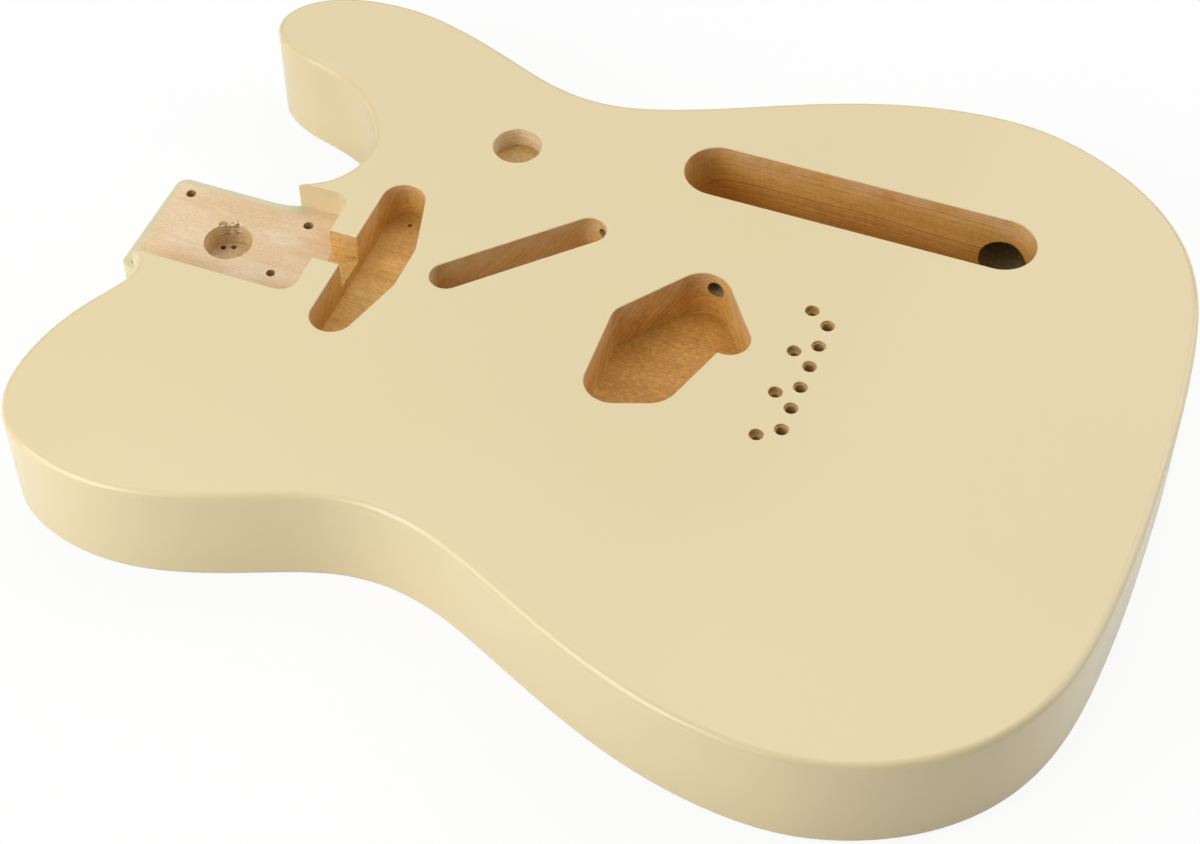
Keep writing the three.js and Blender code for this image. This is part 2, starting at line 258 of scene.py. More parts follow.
# Rings of uneven width, each with a strength of its own
def ringLines(tree, bent, flat, look):
    uneven = product(tree, lineNoise(tree, bent, grain["uneven"], detail=2.0), grain["unevenPush"])
    rings = combined(tree, "DIVIDE", total(tree, bent, uneven), look["ringSpacing"])
    number, phase = applied(tree, "FLOOR", rings), applied(tree, "FRACT", rings)
    chance = addNode(tree, "ShaderNodeTexWhiteNoise", {"noise_dimensions": "1D"}, {"W": number})
    ring = addNode(tree, "ShaderNodeValToRGB", {}, {0: phase})
    ramp = ring.color_ramp
    ramp.interpolation = "EASE"
    for element, position in zip(ramp.elements, (0.0, 1.0)):
        element.position = position
        element.color = (*[grain["ringEnds"]] * 3, 1)
    for position, value in grain["ringSteps"]:
        ramp.elements.new(position).color = (value, value, value, 1)
    power = combined(tree, "POWER", chance.outputs["Value"], grain["chancePower"])
    strength = ranged(tree, power, 0.0, 1.0, (grain["faintest"], 1.0))
    share = ranged(tree, flat, 0.0, 1.0, (look["lineShare"], look["lineShare"] * look["flatLines"]))
    return product(tree, ring.outputs[0], strength, share)


# How much lighter or darker the fibres, streaks, cutter's marks and mottle make the wood
def woodTone(tree, place, bent, flat, fibre, marks, look):
    swing = (look["fibreLow"], look["fibreHigh"])
    low, high = grain["middle"]
    streak = lineNoise(tree, bent, grain["streak"], detail=3.0, roughness=0.6)
    streaks = blended(
        tree, flat, ranged(tree, streak, low, high, swing),
        ranged(tree, streak, low, high, grain["flatStreak"]))
    speckle = stretchedNoise(tree, place, grain["speckle"], detail=5.0, roughness=0.75)
    return product(
        tree, ranged(tree, fibre, low, high, swing), streaks,
        ranged(tree, marks, low, high, grain["marksTone"]),
        ranged(tree, speckle, low, high, (1 - look["mottle"], 1 + look["mottle"])))


def poreMask(tree, place):
    moved = addNode(tree, "ShaderNodeMapping", {"Scale": grain["pore"]}, {"Vector": place}).outputs[0]
    pore = addNode(tree, "ShaderNodeTexVoronoi", {"Scale": 1.0, "Randomness": 1.0}, {"Vector": moved})
    return ranged(tree, pore.outputs["Distance"], *grain["poreEdge"], (1.0, 0.0))


# Overspray that drifted in over the rims
def overspray(tree, place, height, flat, look):
    drift = stretchedNoise(tree, place, grain["dust"], detail=3.0)
    return product(
        tree, ranged(tree, height, look["dustFrom"], faceHeight),
        ranged(tree, drift, *grain["dustEdge"], (look["dustLow"], 1.0)),
        ranged(tree, flat, 0.0, 1.0, (look["dustShare"], look["dustShare"] * look["flatDust"])))


# Pale sealer and dust left in the corner where a wall meets its floor, partly a painted highlight along that
# corner
def cornerDustAndHighlight(tree, place, height, flat, look):
    far, near = grain["cornerReach"]
    left = stretchedNoise(tree, place, grain["corner"], detail=3.0)
    return product(
        tree, ranged(tree, height, look["floorHeight"] + far, look["floorHeight"] + near),
        ranged(tree, flat, 0.0, 1.0, (look["cornerShare"], 0.0)), ranged(tree, left, *grain["cornerEdge"]))


def alder(name, look):
    material, tree, shader = newMaterial(name)
    place = placeInMm(tree)
    height = splitAxes(tree, place)[2]
    # A floor shows the rings' faint flat side and keeps less dust; a wall cuts across them
    facing = splitAxes(tree, addNode(tree, "ShaderNodeTexCoord").outputs["Normal"])[2]
    flat = ranged(tree, applied(tree, "ABSOLUTE", facing), *grain["flatEdge"])
    bent = bentRadius(tree, place, look)
    fibre = stretchedNoise(tree, place, grain["fibre"], detail=4.0, roughness=0.65)
    marks = stretchedNoise(tree, place, grain["marks"])
    pores = poreMask(tree, place)
    patch = ranged(tree, stretchedNoise(tree, place, grain["patch"]), *grain["patchEdge"])
    colour = blended(tree, patch, look["body"], look["light"])
    colour = blended(tree, ringLines(tree, bent, flat, look), colour, look["line"])
    tone = woodTone(tree, place, bent, flat, fibre, marks, look)
    colour = addNode(tree, "ShaderNodeVectorMath", {"operation": "SCALE"}, {0: colour, 3: tone}).outputs[0]
    colour = blended(tree, product(tree, pores, look["poreShare"]), colour, look["pore"])
    colour = blended(tree, overspray(tree, place, height, flat, look), colour, look["dust"])
    colour = blended(tree, cornerDustAndHighlight(tree, place, height, flat, look), colour, look["corner"])
    tree.links.new(colour, shader.inputs["Base Color"])
    relief = less(tree, total(tree, fibre, product(tree, marks, grain["marksRelief"])), pores)
    addBump(tree, shader, relief, look["grainHeight"])
    shader.inputs["Roughness"].default_value = look["roughness"]
    return material


# Primer left bare on the heel's edge, where the neck's sides hide it: a flat pale strip along the neck end
# and the treble side of the raw pocket floor, with one brown chip at the bass corner. Past bendX the strip
# bends toward the cutaway. The stain is sealer that crept out of the channel into the raw wood.
primerLook = {
    "colour": "#D0C9A4", "endX": -195.35, "endSlope": -0.05, "sideY": 22.8, "bendX": -147.5, "bend": 0.125,
    "bassX": -190.0, "bassY": -18.5, "cornerRound": 1.6, "edgeBlur": 0.15,
    "ragged": 0.5, "raggedNoise": (0.5, 0.9, 0.5),
    "chip": "#B4946A", "chipPlace": (-193.1, -23.0), "chipSize": 1.3, "chipBlur": 0.2,
    "stain": "#D6A068", "stainPlace": (-129.0, 12.0), "stainSize": 15.0, "stainShare": 0.55,
    "creep": 6.0, "creepNoise": (0.1, 0.35, 0.35),
}


def distanceTo(tree, x, y, atX, atY):
    return lengthOf(tree, {0: less(tree, x, atX), 1: less(tree, y, atY)})


# How far a place on the heel lies past the edge of the raw wood, negative on the wood
def primerGap(tree, x, y, look):
    endGap = less(tree, total(tree, product(tree, y, look["endSlope"]), look["endX"]), x)
    past = combined(tree, "MAXIMUM", less(tree, x, look["bendX"]), 0.0)
    sideGap = less(tree, less(tree, y, look["sideY"]), product(tree, past, past, look["bend"]))
    gap = addNode(
        tree, "ShaderNodeMath", {"operation": "SMOOTH_MAX", 2: look["cornerRound"]},
        {0: endGap, 1: sideGap}).outputs[0]
    bassGap = combined(tree, "MINIMUM", less(tree, look["bassX"], x), less(tree, look["bassY"], y))
    return combined(tree, "MAXIMUM", gap, bassGap)


def primerEdge(material):
    look = primerLook
    tree, shader, wood = openMaterial(material)
    place = placeInMm(tree)
    x, y, _ = splitAxes(tree, place)
    noise = stretchedNoise(tree, place, look["raggedNoise"], detail=3.0)
    ragged = product(tree, ranged(tree, noise, 0.0, 1.0, (-0.5, 0.5)), look["ragged"])
    edge = total(tree, primerGap(tree, x, y, look), ragged)
    creep = stretchedNoise(tree, place, look["creepNoise"], detail=3.0)
    crept = total(
        tree, distanceTo(tree, x, y, *look["stainPlace"]),
        ranged(tree, creep, *grain["middle"], (-look["creep"], look["creep"])))
    stain = ranged(tree, crept, look["stainSize"], 0.0, (0.0, look["stainShare"]))
    colour = blended(tree, stain, wood, look["stain"])
    colour = blended(tree, ranged(tree, edge, -look["edgeBlur"], look["edgeBlur"]), colour, look["colour"])
    chip = total(tree, distanceTo(tree, x, y, *look["chipPlace"]), ragged)
    size, blur = look["chipSize"], look["chipBlur"]
    colour = blended(tree, ranged(tree, chip, size - blur, size + blur, (1.0, 0.0)), colour, look["chip"])
    tree.links.new(colour, shader.inputs["Base Color"])
    return material


# Bored wood, rough and darker than the wood round it, with a few pale torn specks; the darkest look is
# painted shade in the jack bore, the bridge's wire bore, the nail holes and the crack
boredLook = {"speckEdge": (0.4, 0.75), "relief": 0.3, "reliefStrength": 0.6}
# Painted shade: the darkest look, for the deep bores, the nail holes and the crack
deepBoreShadeLook = dict(boredLook, colour="#86754F", speck="#B8A070", speckSize=1.1, roughness=0.85)
drilledLook = dict(boredLook, colour="#B4935A", speck="#D0AC70", speckSize=0.6, roughness=0.8)
pocketHoleLook = dict(boredLook, colour="#E0C496", speck="#C4A672", speckSize=2.4, roughness=0.75)


def boredWood(name, look):
    material, tree, shader = newMaterial(name)
    speck = evenNoise(tree, look["speckSize"], detail=4.0, roughness=0.7)
    colour = blended(tree, ranged(tree, speck, *look["speckEdge"]), look["colour"], look["speck"])
    tree.links.new(colour, shader.inputs["Base Color"])
    addBump(tree, shader, speck, look["relief"], look["reliefStrength"])
    shader.inputs["Roughness"].default_value = look["roughness"]
    return material


# The far side of the pocket's round hole, where its cutter tore the wood into ragged level ridges, with a
# painted highlight on their tops and painted shade between them. The patch is measured outward from the
# hole's centre along its turn, and across that.
tornRidgeShadeLook = {
    "centre": (-164.1, -0.5), "turn": 112.0, "near": 8.55, "nearBlur": 0.15, "far": 11.2, "halfWidth": 4.5,
    "blur": 0.2, "low": 23.8, "fade": 3.0, "paintedRidgeHighlight": "#F2DDB9", "paintedRidgeShade": "#A57E4B",
    "ragged": 1.6, "raggedNoise": (0.7, 0.7, 0.7), "nearRagged": 0.5,
    "ridgeNoise": (0.5, 0.5, 1.7), "ridgeEdge": (0.4, 0.6),
}


def tornEdgeWithPaintedShade(material):
    look = tornRidgeShadeLook
    tree, shader, wood = openMaterial(material)
    place = placeInMm(tree)
    turn = math.radians(look["turn"])
    moved = addNode(
        tree, "ShaderNodeMapping",
        {"vector_type": "TEXTURE", "Location": (*look["centre"], 0), "Rotation": (0, 0, turn)},
        {"Vector": place})
    outward, aside, height = splitAxes(tree, moved.outputs[0])
    noise = stretchedNoise(tree, place, look["raggedNoise"], detail=3.0)
    ragged = ranged(tree, noise, 0.0, 1.0, (-look["ragged"] / 2, look["ragged"] / 2))
    inner = total(tree, outward, product(tree, ragged, look["nearRagged"]))
    outer = total(tree, outward, ragged)
    across = total(tree, applied(tree, "ABSOLUTE", aside), ragged)
    share = product(
        tree, ranged(tree, inner, look["near"] - look["nearBlur"], look["near"] + look["nearBlur"]),
        ranged(tree, outer, look["far"] + look["blur"], look["far"] - look["blur"]),
        ranged(tree, across, look["halfWidth"] + look["blur"], look["halfWidth"] - look["blur"]),
        ranged(tree, height, look["low"], look["low"] + look["fade"]))
    # Painted highlight on the ridges' tops over painted shade between them
    ridge = stretchedNoise(tree, place, look["ridgeNoise"], detail=4.0, roughness=0.7)
    paintedRidgeLight = blended(tree, ranged(tree, ridge, *look["ridgeEdge"]), look["paintedRidgeShade"], look["paintedRidgeHighlight"])
    tree.links.new(blended(tree, share, wood, paintedRidgeLight), shader.inputs["Base Color"])
    return material


# One for each slot, in the slots' order
materials = [
    creamLacquer(),
    alder("sealed_alder", neckRoutLook),
    alder("raw_alder", rawLook),
    boredWood("bored_alder_painted_shade", deepBoreShadeLook),
    tornEdgeWithPaintedShade(primerEdge(alder("raw_alder_with_primer_edge", rawLook))),
    boredWood("drilled_alder", drilledLook),
    tornEdgeWithPaintedShade(boredWood("drilled_raw_alder", pocketHoleLook)),
    alder("sealed_alder_oversprayed", dustyLook),
    alder("sealed_alder_painted_shade_floor", shadedBridgeFloorLook),
    alder("sealed_alder_pale_wall", waistLook),
    alder("sealed_alder_dull_floor", waistFloorLook),
    alder("sealed_alder_bridge_wall", bridgeWallLook),
]
trebleAlder = alder("sealed_alder_treble_board", trebleLook)
print("materials made")

# Blank: places of the outline's control points as shares of half the length and half the width
blank = {
    "halfLength": 201.38,
    "halfWidth": 160.9,
    "edgeRound": 3.0,
    "edgeSegments": 8,
    "cornerSegments": 8,
    "heelEdge": 0.4,
    "curveRounds": 4,
    "levelWithin": 0.01,
    "topFrom": 0.999,
    "neckEnd": -197.7,
    "heelTreble": 25.6,
    "heelBass": -25.4,
    "heelTrebleCorner": 4.8,
    "heelBassCorner": 3.8,
    "heelTrebleSteps": [17.02, 27.01, 37.0, 46.99],
    "heelFlankSteps": [(11.8, -3.75), (6.4, -2.03)],
    "controls": [
        (-0.703, 0.184), (-0.667, 0.217), (-0.643, 0.265), (-0.634, 0.324), (-0.641, 0.392),
        (-0.673, 0.464), (-0.726, 0.524), (-0.793, 0.563), (-0.857, 0.583), (-0.912, 0.61),
        (-0.96, 0.656), (-0.974, 0.716), (-0.949, 0.785), (-0.892, 0.839), (-0.807, 0.868),
        (-0.708, 0.87), (-0.599, 0.836), (-0.48, 0.778), (-0.366, 0.715), (-0.252, 0.696),
        (-0.133, 0.735), (-0.003, 0.808), (0.135, 0.892), (0.284, 0.963), (0.443, 1.004),
        (0.592, 1.001), (0.736, 0.93), (0.85, 0.828), (0.931, 0.694), (0.974, 0.535),
        (0.991, 0.355), (1, 0.174), (1, 0), (0.999, -0.179), (0.991, -0.353),
        (0.975, -0.532), (0.935, -0.696), (0.854, -0.838), (0.736, -0.941), (0.592, -1.003),
        (0.443, -1.001), (0.284, -0.959), (0.135, -0.886), (-0.003, -0.802), (-0.133, -0.723),
        (-0.252, -0.688), (-0.366, -0.706), (-0.48, -0.767), (-0.599, -0.825), (-0.708, -0.853),
        (-0.807, -0.847), (-0.894, -0.813), (-0.961, -0.756), (-0.998, -0.669), (-1.003, -0.569),
        (-0.991, -0.47), (-0.964, -0.374), (-0.931, -0.297), (-0.908, -0.238)],
}


# The heel's treble flank, the curve round the body, the heel's bass flank and its two corners
def outlinePoints():
    end, treble, bass = blank["neckEnd"], blank["heelTreble"], blank["heelBass"]
    trebleFlank = [(end + step, treble) for step in blank["heelTrebleSteps"]]
    curve = [(u * blank["halfLength"], v * blank["halfWidth"]) for u, v in blank["controls"]]
    bassFlank = [(end + x, bass + y) for x, y in blank["heelFlankSteps"]]
    return trebleFlank + curve + bassFlank + [(end, bass), (end, treble)]


# Halving each edge and pulling the old points in makes a cubic B-spline. The heel's corners stay sharp, and
# the curve begins and ends on the points next to them.
def curveOutline(work, count):
    corners = {count - 2, count - 1}
    still = {0, count - 3} | corners
    for _ in range(blank["curveRounds"]):
        work.verts.index_update()
        edges = [e for e in work.edges if not corners & {v.index for v in e.verts}]
        before = len(work.verts)
        bmesh.ops.subdivide_edges(work, edges=edges, cuts=1)
        work.verts.ensure_lookup_table()
        moving = [work.verts[i] for i in range(before) if i not in still]
        bmesh.ops.smooth_vert(
            work, verts=moving, factor=0.5, use_axis_x=True, use_axis_y=True, use_axis_z=True)
    return work.verts[count - 2], work.verts[count - 1]


def roundCorner(work, corner, radius):
    sides = [e.other_vert(corner).co - corner.co for e in corner.link_edges]
    reach = radius / math.tan(sides[0].angle(sides[1]) / 2)
    bmesh.ops.bevel(
        work, geom=[corner], affect="VERTICES", offset=reach, segments=blank["cornerSegments"],
        profile=0.5, material=-1)


# The body's outline as a plate with rounded edges, before anything is cut into it
def makeBlank(thickness, edgeRound, topSlot=paintSlot):
    work = bmesh.new()
    verts = [work.verts.new((x, y, 0)) for x, y in outlinePoints()]
    for pair in zip(verts, verts[1:] + verts[:1]):
        work.edges.new(pair)
    bassCorner, trebleCorner = curveOutline(work, len(verts))
    bmesh.ops.edgeloop_fill(work, edges=work.edges[:])
    roundCorner(work, bassCorner, blank["heelBassCorner"])
    roundCorner(work, trebleCorner, blank["heelTrebleCorner"])
    bmesh.ops.recalc_face_normals(work, faces=work.faces[:])
    raised = bmesh.ops.extrude_face_region(work, geom=work.faces[:])["geom"]
    lifted = [v for v in raised if isinstance(v, bmesh.types.BMVert)]
    bmesh.ops.translate(work, verts=lifted, vec=(0, 0, thickness))
    rims = [e for e in work.edges if abs(e.verts[0].co.z - e.verts[1].co.z) < blank["levelWithin"]]
    bmesh.ops.bevel(
        work, geom=rims, affect="EDGES", offset=edgeRound, segments=blank["edgeSegments"],
        profile=0.5, material=-1, clamp_overlap=False)
    bmesh.ops.recalc_face_normals(work, faces=work.faces[:])
    for face in work.faces:
        face.material_index = topSlot if face.normal.z > blank["topFrom"] else paintSlot
    return makeObject("blank", work, materials)


cutting = {
    "degreesPerStep": 4.0,
    "overrun": 2.0,  # how far a cutter runs past the face that it opens
    "clear": 3.0,  # the same for the small holes inside the pocket and for the jack bore
    "rimRound": 0.45,  # sanded edge under the lacquer at every cavity's mouth
    "rimTurn": 80.0,
    "rimFlare": 0.3,
    "rimSteps": 3,
    "wallInset": 0.25,
    "holeRound": 0.3,
    "levelFrom": 0.9,
    "touch": 1e-4,
    "roundSteps": 72,
    "holeSteps": 40,
    "drillSteps": 32,
    "nailSteps": 20,
}


# Floors and walls of a cutter, and paint on its rim
def setSlots(work, floorSlot, wallSlot, rimFrom):
    for face in work.faces:
        face.material_index = floorSlot if abs(face.normal.z) > cutting["levelFrom"] else wallSlot
        if face.calc_center_median().z > rimFrom:
            face.material_index = paintSlot


# A closed loop of straight sides and round corners, grown outwards all round; corners run anticlockwise
def roundedLoop(work, corners, height, grow=0.0):
    count = len(corners)
    places = [Vector((x, y, height)) for x, y, radius in corners]
    bends = []
    for i, (x, y, radius) in enumerate(corners):
        back, ahead = places[i - 1] - places[i], places[(i + 1) % count] - places[i]
        half = back.angle(ahead) / 2
        bends.append((back, ahead, half, radius / math.tan(half)))
    edges, first, last = [], None, None
    for i, (back, ahead, half, reach) in enumerate(bends):
        roomBack = back.length * reach / (reach + bends[i - 1][3])
        roomAhead = ahead.length * reach / (reach + bends[(i + 1) % count][3])
        room = min(reach, roomBack, roomAhead)
        start = places[i] + back.normalized() * room
        end = places[i] + ahead.normalized() * room
        centre = places[i] + ((start + end) / 2 - places[i]) / math.cos(half) ** 2
        side = 1 if ahead.cross(back).z > 0 else -1
        radius = room * math.tan(half)
        start = centre + (start - centre) * (radius + side * grow) / radius
        sweep = (math.pi - 2 * half) * side
        steps = max(2, math.ceil(abs(sweep) / math.radians(cutting["degreesPerStep"])))
        begin = work.verts.new(start)
        arc = bmesh.ops.spin(work, geom=[begin], cent=centre, axis=(0, 0, 1), angle=sweep, steps=steps)
        finish = next(g for g in arc["geom_last"] if isinstance(g, bmesh.types.BMVert))
        if last is not None:
            work.edges.new((last, begin))
        first, last = first or begin, finish
    work.edges.new((last, first))


def loopEdges(work, height):
    return [e for e in work.edges if all(abs(v.co.z - height) < cutting["touch"] for v in e.verts)]


# Reach and height from the floor up a straight wall and out over the rounded rim
def rimProfile(reach, floor, radius):
    shoulder = faceHeight - radius
    profile = [(reach, floor), (reach, shoulder)]
    for k in range(1, cutting["rimSteps"] + 1):
        angle = math.radians(cutting["rimTurn"]) * k / cutting["rimSteps"]
        profile.append((reach + radius * (1 - math.cos(angle)), shoulder + radius * math.sin(angle)))
    return profile + [(profile[-1][0] + cutting["rimFlare"], faceHeight + cutting["overrun"])]


# A straight-sided cut down from the face, its mouth flared by the rounding of the rim
def routCutter(name, corners, depth, floorSlot, wallSlot, inset=cutting["wallInset"]):
    work = bmesh.new()
    levels = rimProfile(-inset, faceHeight - depth, cutting["rimRound"])
    for grow, height in levels:
        roundedLoop(work, corners, height, grow)
    for (_, low), (_, high) in zip(levels, levels[1:]):
        bmesh.ops.bridge_loops(work, edges=loopEdges(work, low) + loopEdges(work, high))
    for height in (levels[0][1], levels[-1][1]):
        bmesh.ops.edgeloop_fill(work, edges=loopEdges(work, height))
    bmesh.ops.recalc_face_normals(work, faces=work.faces[:])
    setSlots(work, floorSlot, wallSlot, faceHeight - cutting["rimRound"])
    return makeObject(name, work, materials)


# A round cut turned from a profile of radius and height, lowest first
def turnedCutter(name, x, y, profile, floorSlot, wallSlot, steps, rimRound=cutting["rimRound"]):
    work = bmesh.new()
    chain = [(0.0, profile[0][1]), *profile, (0.0, profile[-1][1])]
    verts = [work.verts.new((x + r, y, z)) for r, z in chain]
    edges = [work.edges.new(pair) for pair in zip(verts, verts[1:])]
    bmesh.ops.spin(
        work, geom=verts + edges, cent=(x, y, 0), axis=(0, 0, 1), angle=2 * math.pi, steps=steps,
        use_merge=True)
    bmesh.ops.remove_doubles(work, verts=work.verts[:], dist=cutting["touch"])
    bmesh.ops.recalc_face_normals(work, faces=work.faces[:])
    setSlots(work, floorSlot, wallSlot, faceHeight - rimRound)
    return makeObject(name, work, materials)


def plainHole(name, x, y, diameter, low, high, slot, steps=cutting["drillSteps"]):
    return turnedCutter(name, x, y, [(diameter / 2, low), (diameter / 2, high)], slot, slot, steps)


def levelBore(name, start, end, height, diameter, slot, steps=cutting["holeSteps"]):
    run = Vector(end) - Vector(start)
    middle = (Vector(start) + Vector(end)) / 2
    turn = Matrix.Rotation(math.atan2(run.y, run.x), 4, "Z") @ Matrix.Rotation(math.pi / 2, 4, "Y")
    turn = turn @ Matrix.Rotation(math.pi / steps, 4, "Z")
    work = bmesh.new()
    bmesh.ops.create_cone(
        work, cap_ends=True, segments=steps, radius1=diameter / 2, radius2=diameter / 2, depth=run.length,
        matrix=Matrix.Translation((middle.x, middle.y, height)) @ turn)
    for face in work.faces:
        face.material_index = slot
    return makeObject(name, work, materials)


def joinObjects(name, parts):
    work = bmesh.new()
    for part in parts:
        work.from_mesh(part.data)
        bpy.data.objects.remove(part)
    return makeObject(name, work, materials)


def cutAway(body, cutters):
    cutter = joinObjects("cutter", cutters)
    modifier = body.modifiers.new("cut", "BOOLEAN")
    modifier.operation = "DIFFERENCE"
    modifier.solver = "EXACT"
    modifier.material_mode = "INDEX"
    modifier.object = cutter
    bpy.context.view_layer.update()
    result = body.evaluated_get(bpy.context.evaluated_depsgraph_get())
    cut = bpy.data.meshes.new_from_object(result)
    body.modifiers.clear()
    body.data = cut
    bpy.data.objects.remove(cutter)


neckPocket = {
    "length": 74.0, "width": 55.4, "depth": 13.0, "corner": 6.5, "openRun": 4.0, "openCorner": 1.0}
pocketWallX = blank["neckEnd"] + neckPocket["length"]
pocketFloor = faceHeight - neckPocket["depth"]


# The pocket leaves the heel as a shelf, its edge hardly rounded
def pocketCutter():
    half, corner = neckPocket["width"] / 2, neckPocket["corner"]
    openX, openCorner = -blank["halfLength"] - neckPocket["openRun"], neckPocket["openCorner"]
    cutter = routCutter("pocket", [
        (openX, -half, openCorner), (pocketWallX, -half, corner),
        (pocketWallX, half, corner), (openX, half, openCorner)],
        neckPocket["depth"] + blank["heelEdge"], paintSlot, paintSlot, 0.0)
    cutAway(cutter, [makeBlank(pocketFloor, blank["heelEdge"], heelSlot)])
    return cutter


neckScrews = {"hole": 4.0, "pitchX": 50.9, "pitchY": 38.1, "fromWall": 15.1, "offset": 0.65}


def neckScrewHoles():
    return [
        plainHole("neckScrew", pocketWallX - neckScrews["fromWall"] - step * neckScrews["pitchX"],
                  side * neckScrews["pitchY"] / 2 - neckScrews["offset"], neckScrews["hole"],
                  -cutting["overrun"], pocketFloor + cutting["clear"], drillSlot)
        for step in (0, 1) for side in (-1, 1)]


spareHole = {"hole": 3.6, "depth": 12.0, "fromWall": 17.7, "y": -10.1}


def spareHoleCutter():
    return plainHole(
        "spare", pocketWallX - spareHole["fromWall"], spareHole["y"], spareHole["hole"],
        pocketFloor - spareHole["depth"], pocketFloor + cutting["clear"], drillSlot)


# Round blind hole in the pocket's floor, with two nail holes in its own floor
roundHole = {
    "hole": 19.0, "depth": 10.0, "fromWall": 40.4, "y": -0.5,
    "nailHole": 2.2, "nailDepth": 4.0, "nailPlaces": [(-5.9, 5.0), (-2.1, 6.65)],
}
roundHoleX = pocketWallX - roundHole["fromWall"]
roundHoleFloor = pocketFloor - roundHole["depth"]


def roundHoleCutter():
    return plainHole(
        "roundHole", roundHoleX, roundHole["y"], roundHole["hole"], roundHoleFloor,
        pocketFloor + cutting["clear"], pocketHoleSlot, cutting["roundSteps"])


def roundHoleNails():
    return [
        plainHole("pocketNail", roundHoleX + x, roundHole["y"] + y, roundHole["nailHole"],
                  roundHoleFloor - roundHole["nailDepth"], roundHoleFloor + cutting["overrun"], shadedBoreSlot,
                  cutting["nailSteps"])
        for x, y in roundHole["nailPlaces"]]


tornWood = {
    "from": 1.1, "pitch": 1.0, "thickness": 0.45, "steps": 28,
    # Torn grooves from the top down: turn in degrees, reach past the wall, tilt in degrees and radius
    "grooves": [
        (113, 1.0, 1.5, 5.4), (108, 0.6, -1, 5.0), (115, 0.9, 1, 5.4), (110, 0.5, 2, 5.2),
        (114, 0.75, -1, 5.3), (109, 0.5, 1, 5.0), (113, 0.35, -1, 5.2)],
    # Chips out of the rim above them: turn, reach and radius
    "chips": [(93.5, 1.1, 0.8), (106.0, 1.5, 1.0), (118.5, 1.3, 0.95), (130.5, 0.9, 0.8)],
    "chipLift": 0.7, "chipThickness": 2.6, "chipSteps": 9,
    # One crack low in the wall, lined with painted shade: turn, reach, tilt, radius and thickness
    "crack": (84.0, 0.8, 4.0, 2.0, 0.3), "crackLift": 0.45,
}


# Wood torn out of the round hole's wall by a thin level bite with its own round end
def tornBite(height, turn, reach, tilt, radius, thickness, slot, steps=tornWood["steps"]):
    spin = Matrix.Rotation(math.radians(turn), 4, "Z") @ Matrix.Rotation(math.radians(tilt), 4, "X")
    out = roundHole["hole"] / 2 + reach - radius
    middle = Matrix.Translation((roundHoleX, roundHole["y"], height))
    work = bmesh.new()
    bmesh.ops.create_cone(
        work, cap_ends=True, segments=steps, radius1=radius, radius2=radius, depth=thickness,
        matrix=middle @ spin @ Matrix.Translation((out, 0, 0)))
    for face in work.faces:
        face.material_index = slot
    return makeObject("bite", work, materials)


def tornBites():
    grooves = [
        tornBite(pocketFloor - tornWood["from"] - i * tornWood["pitch"], turn, reach, tilt, radius,
                 tornWood["thickness"], pocketHoleSlot)
        for i, (turn, reach, tilt, radius) in enumerate(tornWood["grooves"])]
    chips = [
        tornBite(pocketFloor + tornWood["chipLift"], turn, reach, 0.0, radius, tornWood["chipThickness"],
                 pocketHoleSlot, tornWood["chipSteps"])
        for turn, reach, radius in tornWood["chips"]]
    return [*grooves, *chips, tornBite(roundHoleFloor + tornWood["crackLift"], *tornWood["crack"], shadedBoreSlot)]


neckRout = {
    "tab": 11.0, "length": 82.6, "width": 24.1, "depth": 17.5, "flat": 19.8, "end": 15.5, "corner": 8.8,
    "shoulder": 6.0, "nailHole": 1.6, "nailDepth": 5.0, "nailPlace": (8.7, 36.6),
}
neckRoutX = pocketWallX + neckRout["tab"]


def neckRoutCutter():
    half, halfFlat = neckRout["length"] / 2, neckRout["flat"] / 2
    corner, shoulder = neckRout["corner"], neckRout["shoulder"]
    endX, tailX = neckRoutX + neckRout["end"], neckRoutX + neckRout["width"]
    return routCutter("neckPickup", [
        (neckRoutX, -half, corner), (endX, -half, corner), (tailX, -halfFlat, shoulder),
        (tailX, halfFlat, shoulder), (endX, half, corner), (neckRoutX, half, corner)],
        neckRout["depth"], sealedSlot, sealedSlot)


def neckRoutNail():
    x, y = neckRout["nailPlace"]
    floor = faceHeight - neckRout["depth"]
    return plainHole(
        "routNail", neckRoutX + x, y, neckRout["nailHole"], floor - neckRout["nailDepth"],
        floor + cutting["overrun"], shadedBoreSlot, cutting["nailSteps"])


# From the pocket into the neck pickup's rout
channel = {"width": 15.4, "depth": 12.6, "overlap": 2.0, "corner": 0.05}


def channelCutter():
    half, corner = channel["width"] / 2, channel["corner"]
    startX, endX = pocketWallX - channel["overlap"], neckRoutX + channel["overlap"]
    return routCutter("channel", [
        (startX, -half, corner), (endX, -half, corner), (endX, half, corner), (startX, half, corner)],
        channel["depth"], sealedSlot, sealedSlot, 0.0)


# Corners of a straight slot with round ends, its span from one end's centre to the other's
def slotCorners(place, span, width, turn=0.0):
    reach, half = (span + width) / 2, width / 2
    spin = Matrix.Rotation(math.radians(turn), 2)
    around = [(-reach, -half), (reach, -half), (reach, half), (-reach, half)]
    return [(*(Vector(place) + spin @ Vector(p)), half) for p in around]


wireSlot = {"width": 13.6, "span": 58.8, "depth": 20.0, "turn": 45.36, "place": (-51.58, 21.9)}


def wireSlotCutter():
    return routCutter(
        "slot", slotCorners(wireSlot["place"], wireSlot["span"], wireSlot["width"], wireSlot["turn"]),
        wireSlot["depth"], dustySlot, dustySlot)


# Corners anticlockwise from the bass end: place along from the rout's own x, place across, and rounding
bridgeRout = {
    "x": 18.92, "depth": 21.5,
    "corners": [
        (-24.34, -41.81, 11.2), (7.34, -30.21, 12.5), (16.81, 0.11, 0.7),
        (36.55, -2.95, 8.3), (2.1, 45.06, 11.1), (-26.49, 6.6, 8.0)],
}


